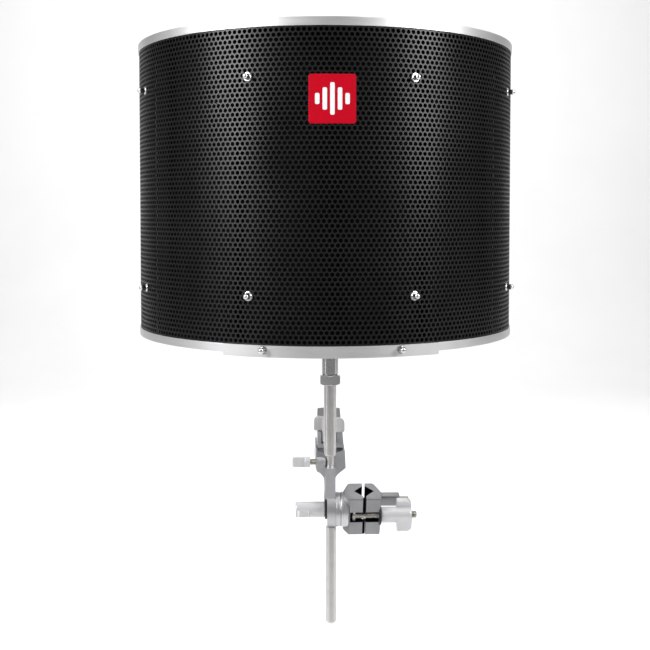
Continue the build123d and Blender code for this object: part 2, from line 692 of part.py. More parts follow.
GROUPS = [
    (
        IN_SHELL,
        {
            "outer_perforated_sheet": bolted_rim(outer_perforated_sheet()),
            "inner_perforated_sheet": inner_perforated_sheet(),
            "outer_wool_layer": layer(OUTER_WOOL),
            "foil_layer": layer(FOIL),
            "inner_wool_layer": layer(INNER_WOOL),
            "spacer_rods": spacer_rods(),
            "top_cap": cap(1),
            "bottom_cap": bolted_rim(cap(-1)),
            "end_channel_left": end_channel(-1),
            "end_channel_right": end_channel(1),
            "top_cap_screws": cap_screws(1),
            "bottom_cap_screws": cap_screws(-1),
            "shell_bolts": shell_bolts(),
            "shell_bolt_washers": shell_bolt_washers(),
            "shell_bolt_spacers": shell_bolt_spacers(),
            "shell_bolt_nuts": shell_bolt_nuts(),
            "badge_plate": badge_plate(),
            "badge_mark": badge_mark(),
            "mounting_bracket": mounting_bracket(),
            "bracket_bolts": bracket_bolts(),
            "bracket_bolt_spacers": bracket_bolt_spacers(),
            "bracket_bolt_nuts": bracket_bolt_nuts(),
            "stem_collar": stem_collar(),
            "stem_collar_screw": stem_collar_screw(),
        },
    ),
    (
        IN_ARM,
        {
            "stem_rod": stem_rod(),
            "stem_jam_nut": stem_jam_nut(),
            "arm_casting": arm_casting(),
            "arm_tilt_disc": arm_tilt_disc(),
            "lower_rod": lower_rod(),
            "upper_clamp_stud": upper_clamp_stud(),
            "upper_clamp_guide_pins": upper_clamp_guide_pins(),
            "upper_clamp_jaw": upper_clamp_jaw(),
            "upper_clamp_washer": upper_clamp_washer(),
            "upper_clamp_handle": upper_clamp_handle(),
            "socket_screw": socket_screw(),
            "tilt_bolt": tilt_bolt(),
            "tilt_washer": tilt_washer(),
            "tilt_handle": tilt_handle(),
            "clamp_tilt_disc": clamp_tilt_disc(),
        },
    ),
    (
        IN_CLAMP,
        {
            "stand_clamp_fixed_jaw": stand_clamp_fixed_jaw(),
            "stand_clamp_free_jaw": stand_clamp_free_jaw(),
            "stand_clamp_bolt": stand_clamp_bolt(),
            "stand_clamp_cross_pin": stand_clamp_cross_pin(),
            "stand_clamp_guide_pin": stand_clamp_guide_pin(),
            "stand_clamp_gap_liner": stand_clamp_gap_liner(),
            "stand_clamp_lug_screw": stand_clamp_lug_screw(),
            "stand_clamp_washer": stand_clamp_washer(),
            "stand_clamp_handle": stand_clamp_handle(),
        },
    ),
]

os.makedirs("parts", exist_ok=True)
for location, solids in GROUPS:
    for name, solid in solids.items():
        export_step(location * solid, f"parts/{name}.step")
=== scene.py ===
from math import atan2, cos, degrees, floor, pi, radians, sin, sqrt, tan

import bmesh
import bpy
from mathutils import Matrix, Vector


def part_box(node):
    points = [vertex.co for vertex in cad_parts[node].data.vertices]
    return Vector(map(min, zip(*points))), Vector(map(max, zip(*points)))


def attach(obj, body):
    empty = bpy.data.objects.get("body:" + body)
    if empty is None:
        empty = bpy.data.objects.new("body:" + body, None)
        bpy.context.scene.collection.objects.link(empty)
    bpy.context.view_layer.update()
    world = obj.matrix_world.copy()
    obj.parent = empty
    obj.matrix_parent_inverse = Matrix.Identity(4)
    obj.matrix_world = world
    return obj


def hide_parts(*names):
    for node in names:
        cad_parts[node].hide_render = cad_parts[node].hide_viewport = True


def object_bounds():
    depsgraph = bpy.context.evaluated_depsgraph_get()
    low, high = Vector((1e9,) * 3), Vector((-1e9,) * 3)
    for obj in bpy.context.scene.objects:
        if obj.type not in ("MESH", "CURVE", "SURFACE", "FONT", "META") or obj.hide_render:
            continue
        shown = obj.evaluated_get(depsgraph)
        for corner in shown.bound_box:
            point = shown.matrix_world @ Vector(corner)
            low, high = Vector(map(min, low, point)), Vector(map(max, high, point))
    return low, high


# Looks of a microphone isolation shield.  Everything is in metres, in the frame of the
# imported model: +Z up, the perforated back faces -Y, the microphone side faces +Y.

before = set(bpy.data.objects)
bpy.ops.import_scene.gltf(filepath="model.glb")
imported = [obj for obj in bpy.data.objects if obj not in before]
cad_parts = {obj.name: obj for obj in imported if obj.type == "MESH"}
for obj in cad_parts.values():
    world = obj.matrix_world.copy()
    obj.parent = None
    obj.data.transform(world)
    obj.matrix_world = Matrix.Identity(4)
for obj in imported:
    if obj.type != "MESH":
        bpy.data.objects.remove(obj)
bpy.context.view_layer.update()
MM = 0.001


# ---- places read from the frame ---------------------------------------------
def lo(node):
    return Vector(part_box(node)[0])


def hi(node):
    return Vector(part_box(node)[1])


def middle(node):
    return (lo(node) + hi(node)) / 2


SHEET_LO, SHEET_HI = lo("outer_perforated_sheet"), hi("outer_perforated_sheet")
AXIS = Vector(((SHEET_LO.x + SHEET_HI.x) / 2, SHEET_HI.y, (SHEET_LO.z + SHEET_HI.z) / 2))
OUTER_R = (SHEET_HI.x - SHEET_LO.x) / 2
INNER_R = (hi("inner_perforated_sheet").x - lo("inner_perforated_sheet").x) / 2
SHEET_T = 1.2 * MM
CAP_R = (hi("top_cap").x - lo("top_cap").x) / 2
CAP_HEIGHT = hi("top_cap").z - lo("top_cap").z
SHELL_TOP = hi("top_cap").z - AXIS.z
STEM_X, STEM_Y = middle("stem_rod").x, middle("stem_rod").y
TILT_Z = middle("tilt_bolt").z
CLAMP_LEAN = radians(22.3)
TILT_WING_LEAN = radians(17.3)
CLAMP_HALF = 21.1 * MM    # half the length of the stand clamp's jaws
GRIP_X, GRIP_Y = 9.5 * MM, 9.1 * MM      # half diagonals of the grip hole
GAP_HALF = 1.6 * MM       # half of the clamp's gap, with its rounded edges
LUG_SCREW = (12.7, 1.1)   # across the clamp's frame, mm
SLOT_END, SLOT_FLOOR, SLOT_HALF = 13.8 * MM, 4.9 * MM, 5.95 * MM

PITCH = 5.1 * MM          # perforation, centre to centre
HOLE_R = 2.0 * MM
BOLT_ANGLES = (-67.5, -22.5, 22.5, 67.5)
BOLT_Z = 100 * MM
ROD_ANGLES = [28.5 * k for k in range(-3, 4)]
ROD_CIRCLE_R = 187 * MM
BRACKET_BOLT_ANGLE = 18.0


# ---- node helpers for materials -----------------------------------------------
class Paint:
    """One node material with a Principled shader and short helpers around it."""

    def __init__(self, name, color, metallic=0.0, roughness=0.5, coat=0.0):
        self.material = bpy.data.materials.new(name)
        self.material.use_nodes = True
        self.tree = self.material.node_tree
        self.shader = self.tree.nodes["Principled BSDF"]
        self.shader.inputs["Base Color"].default_value = (*color, 1)
        self.shader.inputs["Metallic"].default_value = metallic
        self.shader.inputs["Roughness"].default_value = roughness
        self.shader.inputs["Coat Weight"].default_value = coat
        self.coords = self.tree.nodes.new("ShaderNodeTexCoord").outputs["Object"]
        self.color = color
        self.height = None

    def link(self, source, target):
        self.tree.links.new(source, target)

    def math(self, operation, a, b=0.0):
        node = self.tree.nodes.new("ShaderNodeMath")
        node.operation = operation
        for socket, value in zip(node.inputs, (a, b)):
            if isinstance(value, (int, float)):
                socket.default_value = value
            else:
                self.link(value, socket)
        return node.outputs[0]

    def below(self, value, limit):
        return self.math("LESS_THAN", value, limit)

    def both(self, a, b):
        return self.math("MULTIPLY", a, b)

    def stretched(self, scale):
        node = self.tree.nodes.new("ShaderNodeMapping")
        node.inputs["Scale"].default_value = scale
        self.link(self.coords, node.inputs["Vector"])
        return node.outputs["Vector"]

    def around_shell(self, along, across, up):
        """Coordinates that follow the shell: along its curve, across it and up."""
        split = self.tree.nodes.new("ShaderNodeSeparateXYZ")
        self.link(self.coords, split.inputs[0])
        x = self.math("SUBTRACT", split.outputs[0], AXIS.x)
        y = self.math("SUBTRACT", split.outputs[1], AXIS.y)
        angle = self.math("ARCTAN2", x, self.math("MULTIPLY", y, -1.0))
        squares = self.math("ADD", self.math("MULTIPLY", x, x), self.math("MULTIPLY", y, y))
        radius = self.math("SQRT", squares)
        join = self.tree.nodes.new("ShaderNodeCombineXYZ")
        self.link(self.math("MULTIPLY", angle, along), join.inputs[0])
        self.link(self.math("MULTIPLY", radius, across), join.inputs[1])
        self.link(self.math("MULTIPLY", split.outputs[2], up), join.inputs[2])
        return join.outputs[0]

    def noise(self, scale, detail=3.0, vector=None, rough=0.55):
        node = self.tree.nodes.new("ShaderNodeTexNoise")
        node.inputs["Scale"].default_value = scale
        node.inputs["Detail"].default_value = detail
        node.inputs["Roughness"].default_value = rough
        self.link(vector or self.coords, node.inputs["Vector"])
        return node.outputs["Fac"]

    def cells(self, scale, vector=None):
        node = self.tree.nodes.new("ShaderNodeTexVoronoi")
        node.inputs["Scale"].default_value = scale
        self.link(vector or self.coords, node.inputs["Vector"])
        return node.outputs["Distance"]

    def spread(self, value, low, high, from_low=0.3, from_high=0.7):
        node = self.tree.nodes.new("ShaderNodeMapRange")
        node.inputs["From Min"].default_value = from_low
        node.inputs["From Max"].default_value = from_high
        node.inputs["To Min"].default_value = low
        node.inputs["To Max"].default_value = high
        self.link(value, node.inputs["Value"])
        return node.outputs["Result"]

    def roughness(self, value, low, high):
        self.link(self.spread(value, low, high), self.shader.inputs["Roughness"])
        return self

    def tint(self, value, other, from_low=0.35, from_high=0.7, onto=None):
        """The base colour turns towards another one where the value is high."""
        node = self.tree.nodes.new("ShaderNodeMix")
        node.data_type = "RGBA"
        self.link(self.spread(value, 0.0, 1.0, from_low, from_high), node.inputs["Factor"])
        node.inputs["A"].default_value = (*self.color, 1)
        node.inputs["B"].default_value = (*other, 1)
        if onto is not None:
            self.link(onto, node.inputs["A"])
        self.link(node.outputs["Result"], self.shader.inputs["Base Color"])
        return node.outputs["Result"]

    def bump(self, value, strength, depth):
        node = self.tree.nodes.new("ShaderNodeBump")
        node.inputs["Strength"].default_value = strength
        node.inputs["Distance"].default_value = depth
        self.link(value, node.inputs["Height"])
        if self.height is not None:
            self.link(self.height, node.inputs["Normal"])
        self.height = node.outputs["Normal"]
        self.link(self.height, self.shader.inputs["Normal"])
        return self


def black_coat():
    paint = Paint("black_powder_coat", (0.004, 0.004, 0.0045), roughness=0.3)
    grain = paint.noise(900, 4)
    smudge = paint.noise(14, 3)
    paint.roughness(smudge, 0.28, 0.38)
    paint.tint(smudge, (0.007, 0.007, 0.008))
    paint.bump(grain, 0.18, 0.15 * MM)
    return paint.material


def brushed_cap():
    paint = Paint("brushed_aluminium", (0.86, 0.86, 0.87), metallic=1.0, roughness=0.3)
    lines = paint.noise(1.0, 5, paint.around_shell(9, 5200, 5200))
    cloud = paint.noise(22, 3)
    paint.roughness(lines, 0.36, 0.54)
    first = paint.tint(cloud, (0.76, 0.755, 0.76), 0.3, 0.8)
    paint.tint(lines, (0.80, 0.80, 0.81), 0.45, 0.9, onto=first)
    paint.bump(lines, 0.12, 0.05 * MM)
    return paint.material


def straight_brushed(name, color, stretch, low=0.2, high=0.36):
    paint = Paint(name, color, metallic=1.0, roughness=(low + high) / 2)
    lines = paint.noise(1.0, 5, paint.stretched(stretch))
    spots = paint.noise(130, 3)
    paint.roughness(lines, low, high)
    paint.tint(spots, tuple(c * 0.86 for c in color), 0.45, 0.85)
    paint.bump(lines, 0.1, 0.03 * MM)
    return paint.material


def turned_steel(name="bright_steel", color=(0.80, 0.795, 0.79)):
    paint = Paint(name, color, metallic=1.0, roughness=0.16)
    marks = paint.noise(700, 4)
    paint.roughness(marks, 0.12, 0.24)
    paint.tint(paint.noise(60, 3), tuple(c * 0.82 for c in color), 0.45, 0.85)
    paint.bump(marks, 0.05, 0.02 * MM)
    return paint.material


def satin_turned(name, color):
    """Lathe-turned metal: fine rings about the tilt axis, which runs along X."""
    paint = Paint(name, color, metallic=1.0, roughness=0.36)
    rings = paint.noise(1.0, 4, paint.stretched((3400, 60, 60)))
    paint.roughness(rings, 0.32, 0.46)
    paint.tint(paint.noise(90, 3), tuple(c * 0.85 for c in color), 0.45, 0.85)
    paint.bump(rings, 0.12, 0.03 * MM)
    return paint.material


def cast_alloy(name="cast_alloy", tone=0.55):
    paint = Paint(name, (tone, tone * 1.01, tone * 1.04), metallic=0.85, roughness=0.42)
    grain = paint.noise(1500, 3)
    flow = paint.noise(45, 4)
    paint.roughness(flow, 0.36, 0.50)
    metal = paint.tint(flow, tuple(c * 0.8 for c in paint.color), 0.4, 0.8)
    paint.bump(grain, 0.22, 0.08 * MM)
    paint.bump(flow, 0.06, 0.3 * MM)
    return paint, metal


def clamp_alloy():
    """The clamp's casting in a darker copy of the cast alloy, as painted shade for its place under the shell,
    with painted black shade in its slot, its front gap and on the walls of its grip hole.
    """
    # A darker copy of the cast alloy: painted shade for the clamp's place under the shell.
    paint, metal = cast_alloy("clamp_alloy", 0.31)
    turn = paint.tree.nodes.new("ShaderNodeMapping")
    turn.inputs["Rotation"].default_value = (-CLAMP_LEAN, 0, 0)
    paint.link(paint.coords, turn.inputs["Vector"])
    split = paint.tree.nodes.new("ShaderNodeSeparateXYZ")
    paint.link(turn.outputs["Vector"], split.inputs[0])
    x, y, z = split.outputs
    wide = paint.math("ABSOLUTE", x)
    tall = paint.math("ABSOLUTE", z)
    reach = paint.math(
        "ADD",
        paint.math("MULTIPLY", wide, 1 / GRIP_X),
        paint.math("MULTIPLY", paint.math("ABSOLUTE", y), 1 / GRIP_Y),
    )
    grip = paint.both(paint.below(reach, 1.03), paint.below(tall, CLAMP_HALF - 0.3 * MM))
    slot = paint.both(paint.below(wide, SLOT_END), paint.below(tall, SLOT_HALF))
    deep = paint.both(paint.below(y, -SLOT_FLOOR), paint.below(paint.math("MULTIPLY", y, -1.0), 12.3 * MM))
    front_gap = paint.both(paint.below(wide, GAP_HALF), paint.below(y, -7.5 * MM))
    painted_shade_mask = paint.math("MAXIMUM", paint.math("MAXIMUM", grip, front_gap), paint.both(slot, deep))
    # Painted shade: near-black in the slot, the front gap and on the grip hole's walls.
    paint.tint(painted_shade_mask, (0.006, 0.006, 0.0065), 0.4, 0.6, onto=metal)
    return paint.material


def handle_alloy():
    paint = Paint("handle_alloy", (0.66, 0.66, 0.67), metallic=0.4, roughness=0.42)
    grain = paint.noise(1800, 2)
    wear = paint.noise(80, 4)
    paint.roughness(wear, 0.36, 0.50)
    paint.tint(wear, (0.60, 0.60, 0.612), 0.45, 0.8)
    paint.bump(grain, 0.12, 0.05 * MM)
    return paint.material


def thread_steel():
    paint = Paint("thread_steel", (0.50, 0.475, 0.44), metallic=1.0, roughness=0.3)
    oil = paint.noise(300, 4)
    paint.roughness(oil, 0.24, 0.42)
    paint.tint(oil, (0.36, 0.34, 0.31), 0.4, 0.75)
    return paint.material


def black_plastic():
    paint = Paint("black_washer", (0.012, 0.012, 0.013), roughness=0.5)
    grain = paint.noise(1600, 2)
    paint.roughness(paint.noise(90, 3), 0.42, 0.6)
    paint.tint(grain, (0.022, 0.022, 0.024))
    paint.bump(grain, 0.15, 0.05 * MM)
    return paint.material


def enamel(name, color, other):
    paint = Paint(name, color, roughness=0.3, coat=0.06)
    paint.shader.inputs["Coat Roughness"].default_value = 0.12
    paint.shader.inputs["Specular IOR Level"].default_value = 0.22
    mottle = paint.noise(160, 3)
    paint.roughness(mottle, 0.2, 0.32)
    paint.tint(mottle, other, 0.4, 0.8)
    paint.bump(paint.noise(420, 2), 0.04, 0.05 * MM)
    return paint.material


def wool(name, color):
    paint = Paint(name, color, roughness=0.95)
    paint.shader.inputs["Specular IOR Level"].default_value = 0.05
    paint.shader.inputs["Sheen Weight"].default_value = 0.04
    paint.shader.inputs["Sheen Roughness"].default_value = 0.6
    fibre = paint.noise(1.0, 6, paint.stretched((900, 900, 260)), 0.7)
    clump = paint.noise(70, 4)
    first = paint.tint(clump, tuple(c * 1.9 for c in color), 0.4, 0.75)
    paint.tint(fibre, tuple(c * 2.6 for c in color), 0.5, 0.8, onto=first)
    paint.bump(fibre, 0.5, 0.6 * MM)
    return paint.material


def foil():
    paint = Paint("crinkled_foil", (0.82, 0.82, 0.84), metallic=1.0, roughness=0.22)
    creases = paint.cells(90)
    paint.roughness(creases, 0.16, 0.34)
    paint.tint(paint.noise(40, 2), (0.72, 0.72, 0.74))
    paint.bump(creases, 0.5, 0.8 * MM)
    return paint.material


def studio_paper():
    paint = Paint("studio_paper", (0.93, 0.93, 0.93), roughness=0.85)
    paint.tint(paint.noise(3, 2), (0.91, 0.91, 0.915))
    return paint.material


BLACK = black_coat()
CAP = brushed_cap()
BRUSHED_UP = straight_brushed("brushed_upright", (0.84, 0.84, 0.85), (2600, 2600, 14), 0.26, 0.42)
STEM = straight_brushed("stem_steel", (0.80, 0.79, 0.775), (2200, 2200, 10), 0.24, 0.38)
# A darker copy of the stem's steel: painted shade on the lower rod.
SHADED_LOWER_STEEL = straight_brushed("lower_rod_shaded_steel", (0.64, 0.63, 0.615), (2200, 2200, 10), 0.24, 0.38)
STEEL = turned_steel()
# A dark copy of the bright steel: painted shade on the lock nuts beside the black mesh.
SHADED_STEEL = turned_steel("shaded_steel", (0.22, 0.22, 0.225))
DISC = satin_turned("machined_disc", (0.66, 0.66, 0.67))
CAST = cast_alloy()[0].material
CLAMP_CAST = clamp_alloy()
HANDLE = handle_alloy()
THREAD = thread_steel()
PLASTIC = black_plastic()
RED = enamel("badge_red", (0.53, 0.001, 0.014), (0.47, 0.001, 0.012))
WHITE = enamel("badge_white", (0.88, 0.88, 0.88), (0.83, 0.83, 0.84))
WOOL_DARK = wool("absorber_wool", (0.004, 0.004, 0.0045))
# Near-black matte as painted shade: it stands for the shade on the spacer rods and in the clamp's gap.
SHADE_BLACK = wool("painted_shade_black", (0.002, 0.002, 0.0022))
FOIL = foil()


# ---- mesh helpers ----------------------------------------------------------------
def piece(name, verts, faces, material, body, replaces=(), smooth=30.0):
    """A new mesh piece that rides on a body and stands for CAD nodes."""
    mesh = bpy.data.meshes.new(name)
    mesh.from_pydata([tuple(v) for v in verts], [], faces)
    mesh.update()
    mesh.materials.append(material)
    thing = bpy.data.objects.new(name, mesh)
    bpy.context.scene.collection.objects.link(thing)
    if smooth:
        mesh.shade_smooth()
        mesh.set_sharp_from_angle(angle=radians(smooth))
    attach(thing, body)
    if replaces:
        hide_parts(*replaces)
    return thing


def bevel(thing, width, segments=3, angle=32.0):
    step = thing.modifiers.new("edge_rounding", "BEVEL")
    step.width = width
    step.segments = segments
    step.limit_method = "ANGLE"
    step.angle_limit = radians(angle)
    step.harden_normals = True
    return thing


def axes_for(direction, lean=0.0):
    """Two unit vectors square to a direction, turned by an angle about it."""
    w = Vector(direction).normalized()
    u = w.orthogonal().normalized()
    v = w.cross(u)
    return (u * cos(lean) + v * sin(lean), v * cos(lean) - u * sin(lean), w)


def held(profile, reach=0.35 * MM, least=2.0 * MM):
    """The profile with extra points near the ends of its long runs, so that they shade flat."""
    points = []
    for (r0, h0), (r1, h1) in zip(profile, profile[1:]):
        points.append((r0, h0))
        run = sqrt((r1 - r0) ** 2 + (h1 - h0) ** 2)
        if run > least:
            for t in (reach / run, 1 - reach / run):
                points.append((r0 + (r1 - r0) * t, h0 + (h1 - h0) * t))
    return points + [profile[-1]]


class Mesh:
    """Collects several closed shapes into one mesh."""

    def __init__(self):
        self.verts = []
        self.faces = []

    def add(self, verts, faces):
        first = len(self.verts)
        self.verts += [Vector(v) for v in verts]
        self.faces += [tuple(first + i for i in face) for face in faces]
        return self

    def rings(self, rings, closed_ends=True):
        """Skins a list of equal rings of points."""
        n = len(rings[0])
        faces = []
        for k in range(len(rings) - 1):
            for i in range(n):
                j = (i + 1) % n
                faces.append((k * n + i, k * n + j, (k + 1) * n + j, (k + 1) * n + i))
        if closed_ends:
            faces.append(tuple(reversed(range(n))))
            faces.append(tuple((len(rings) - 1) * n + i for i in range(n)))
        return self.add([p for ring in rings for p in ring], faces)

    def turned(self, profile, origin, direction, sides=48):
        """Turns (radius, height) pairs about a line; the ends are closed."""
        u, v, w = axes_for(direction)
        origin = Vector(origin)
        rings = []
        for radius, height in held(profile):
            ring = []
            for k in range(sides):
                a = 2 * pi * k / sides
                ring.append(origin + (u * cos(a) + v * sin(a)) * radius + w * height)
            rings.append(ring)
        return self.rings(rings)

    def nut(self, across, height, bore, origin, direction, lean=0.0, sides=48):
        """A hexagon nut whose corners are turned off on both faces."""
        u, v, w = axes_for(direction, lean)
        origin = Vector(origin)
        flat = across / 2
        face_r = flat * 0.97
        rings = [[] for _ in range(6)]
        for k in range(sides):
            a = 2 * pi * k / sides
            off = (a + pi / 6) % (pi / 3) - pi / 6
            side = flat / cos(off)
            drop = max(0.0, side - face_r) * tan(radians(30))
            spots = (
                (bore, 0.0),
                (face_r, 0.0),
                (side, drop),
                (side, height - drop),
                (face_r, height),
                (bore, height),
            )
            for ring, (radius, z) in zip(rings, spots):
                ring.append(origin + (u * cos(a) + v * sin(a)) * radius + w * z)
        n = sides
        self.rings(rings, closed_ends=False)
        first = len(self.verts) - 6 * n
        for i in range(n):
            j = (i + 1) % n
            self.faces.append((first + i, first + j, first + 5 * n + j, first + 5 * n + i)[::-1])
        return self

    def thread(self, radius, pitch, length, origin, direction, depth=None, sides=32):
        """A screw thread as one skin: the radius rises and falls along a helix."""
        u, v, w = axes_for(direction)
        origin = Vector(origin)
        depth = depth or pitch * 0.55
        steps = max(6, round(length / pitch * 6))
        rings = []
        for row in range(steps + 1):
            z = length * row / steps
            ends = min(1.0, min(z, length - z) / (pitch * 0.8))
            ring = []
            for k in range(sides):
                a = 2 * pi * k / sides
                phase = (z / pitch - k / sides) % 1.0
                crest = 1.0 - abs(2 * phase - 1.0)
                crest = min(1.0, max(0.0, crest * 1.5 - 0.25))
                r = radius - depth * (1.0 - crest * ends)
                ring.append(origin + (u * cos(a) + v * sin(a)) * r + w * z)
            rings.append(ring)
        return self.rings(rings)

    def plate(self, outline, origin, u, v, thickness):
        """A flat outline in directions u and v, thickened along u x v."""
        origin, u, v = Vector(origin), Vector(u), Vector(v)
        w = u.cross(v).normalized() * thickness
        low = [origin + u * a + v * b for a, b in outline]
        return self.rings([low, [p + w for p in low]])


def rounded(corners, steps=6):
    """An outline with round corners, from (x, y, corner radius) triples."""
    points = []
    n = len(corners)
    for i in range(n):
        x, y, radius = corners[i]
        here = Vector((x, y))
        before = Vector(corners[i - 1][:2])
        after = Vector(corners[(i + 1) % n][:2])
        if radius <= 0:
            points.append((x, y))
            continue
        a = (before - here).normalized()
        b = (after - here).normalized()
        half = a.angle(b) / 2
        cut = min(radius / tan(half), (before - here).length / 2, (after - here).length / 2)
        centre = here + (a + b).normalized() * (cut / cos(half))
        start = here + a * cut - centre
        turn = start.angle_signed(here + b * cut - centre)
        for k in range(steps + 1):
            t = -turn * k / steps
            points.append(
                (
                    centre.x + start.x * cos(t) - start.y * sin(t),
                    centre.y + start.x * sin(t) + start.y * cos(t),
                )
            )
    return points


def polar(radius, angle, z):
    """A point by its angle from the front, in degrees, and height from the shell's middle."""
    a = radians(angle)
    return Vector((AXIS.x + radius * sin(a), AXIS.y - radius * cos(a), AXIS.z + z))


def outward(angle):
    a = radians(angle)
    return Vector((sin(a), -cos(a), 0))


def swept(mesh, profile, a0, a1, steps):
    """Sweeps a closed (radius, height) outline round the shell axis."""
    rings = []
    for k in range(steps + 1):
        angle = a0 + (a1 - a0) * k / steps
        rings.append([polar(r, angle, z) for r, z in profile])
    return mesh.rings(rings)


# ---- perforated sheets -------------------------------------------------------------
def hex_field(arc, half_height):
    """Cell centres of the staggered hole pattern over a sheet, as (row, column) keys."""
    rise = PITCH * sqrt(3) / 2
    rows = int((half_height - PITCH * 0.60) / rise)
    columns = int((arc / 2 - PITCH * 1.2) / PITCH)
    cells = []
    for row in range(-rows, rows + 1):
        shift = 0.5 if row % 2 else 0.0
        for column in range(-columns, columns + 1):
            if row % 2 and column == columns:
                continue
            cells.append(((column + shift) * PITCH, row * rise))
    return cells


def perforated(name, radius, inward, half_height, first, last, sides, node):
    """Part of a curved sheet, one bored hexagon per hole, from the first to the last angle."""
    arc = pi * radius
    near, far = radius, radius - SHEET_T
    low_s, high_s = radians(first) * radius, radians(last) * radius
    corners = {}
    verts, faces = [], []

    def point(s, z, r):
        verts.append(polar(r, degrees(s / radius), z))
        return len(verts) - 1

    def corner(s, z):
        key = (round(s / PITCH * 12), round(z / PITCH * 12))
        if key not in corners:
            corners[key] = (point(s, z, near), point(s, z, far), s, z)
        return key

    edges = {}
    for s, z in hex_field(arc, half_height):
        if not low_s <= s < high_s:
            continue
        ring = []
        for k in range(6):
            a = pi / 6 + k * pi / 3
            ring.append(corner(s + PITCH / sqrt(3) * cos(a), z + PITCH / sqrt(3) * sin(a)))
        for k in range(6):
            edge = frozenset((ring[k], ring[(k + 1) % 6]))
            edges[edge] = None if edge in edges else (ring[k], ring[(k + 1) % 6])
        hole = []
        for k in range(sides):
            a = pi / 6 + 2 * pi * k / sides
            spot = (s + HOLE_R * cos(a), z + HOLE_R * sin(a))
            hole.append((point(*spot, near), point(*spot, far)))
        each = sides // 6
        for side, flip in ((0, False), (1, True)):
            for k in range(6):
                fan = [hole[(k * each + j) % sides][side] for j in range(each + 1)]
                here, there = corners[ring[k]][side], corners[ring[(k + 1) % 6]][side]
                half = len(fan) // 2
                parts = [(here, fan[j + 1], fan[j]) for j in range(half)]
                parts.append((here, there, fan[half]))
                parts += [(there, fan[j + 1], fan[j]) for j in range(half, each)]
                faces += [part[::-1] for part in parts] if flip else parts
        for k in range(sides):
            a, b = hole[k], hole[(k + 1) % sides]
            faces.append((a[0], b[0], b[1], a[1]))
    rim_sheet(corners, edges, verts, faces, radius, half_height, near, far)
    if inward:
        faces = [face[::-1] for face in faces]
    return piece(name, verts, faces, BLACK, "filter", [node], smooth=0)


def rim_sheet(corners, edges, verts, faces, radius, half_height, near, far):
    """Closes the ragged border of the cells: a plain strip at the sheet's own edges."""
    border = [pair for pair in edges.values() if pair]
    top = half_height - PITCH * 0.62
    side = radians(90) * radius - PITCH * 1.3
    stretched = {}

    def pushed(key):
        """The border corner moved out to the sheet's edge, if it is near one."""
        if key not in stretched:
            _, _, s, z = corners[key]
            s_out = (radians(90) * radius) * (1 if s > 0 else -1) if abs(s) > side - PITCH else s
            z_out = half_height * (1 if z > 0 else -1) if abs(z) > top - PITCH * 0.6 else z
            if (s_out, z_out) == (s, z):
                stretched[key] = None
            else:
                index = len(verts)
                verts.append(polar(near, degrees(s_out / radius), z_out))
                verts.append(polar(far, degrees(s_out / radius), z_out))
                stretched[key] = (index, index + 1)
        return stretched[key]

    for a, b in border:
        out_a, out_b = pushed(a), pushed(b)
        if out_a and out_b:
            a_near, a_far = corners[a][0], corners[a][1]
            b_near, b_far = corners[b][0], corners[b][1]
            faces.append((b_near, a_near, out_a[0], out_b[0]))
            faces.append((a_far, b_far, out_b[1], out_a[1]))
            faces.append((out_b[0], out_a[0], out_a[1], out_b[1]))
        else:
            faces.append((corners[b][0], corners[a][0], corners[a][1], corners[b][1]))


def sheets():
    half = SHEET_HI.z - AXIS.z
    for label, first, last in (("left", -91, -30), ("middle", -30, 30), ("right", 30, 91)):
        perforated(
            "outer_mesh_" + label, OUTER_R, False, half, first, last, 12, "outer_perforated_sheet"
        )
    for label, first, last in (("left", -91, 0), ("right", 0, 91)):
        perforated(
            "inner_mesh_" + label, INNER_R, False, half, first, last, 12, "inner_perforated_sheet"
        )


# ---- absorber layers ------------------------------------------------------------------
WOOL_THICK = {"outer_wool_layer": 9.4 * MM, "inner_wool_layer": 20.3 * MM}


def wool_layer(name, node, seed):
    """A thick curved felt with a soft, lumpy face on both sides."""
    outer = (hi(node).x - lo(node).x) / 2
    thick = WOOL_THICK[node]
    half = (hi(node).z - lo(node).z) / 2
    mesh = Mesh()
    rings = []
    columns, rows = 120, 60
    for k in range(columns + 1):
        angle = -89.6 + 179.2 * k / columns
        ring = []
        for j in range(rows + 1):
            z = -half + 2 * half * j / rows
            lump = 0.35 * MM * (sin(angle * 0.9 + seed) * sin(z * 90 + seed) - 1.0)
            ring.append(polar(outer + lump, angle, z))
        for j in range(rows, -1, -1):
            z = -half + 2 * half * j / rows
            lump = 0.35 * MM * (sin(angle * 0.7 - seed) * sin(z * 80 - seed) + 1.0)
            ring.append(polar(outer - thick + lump, angle, z))
        rings.append(ring)
    mesh.rings(rings)
    felt = piece(name, mesh.verts, mesh.faces, WOOL_DARK, "filter", [node])


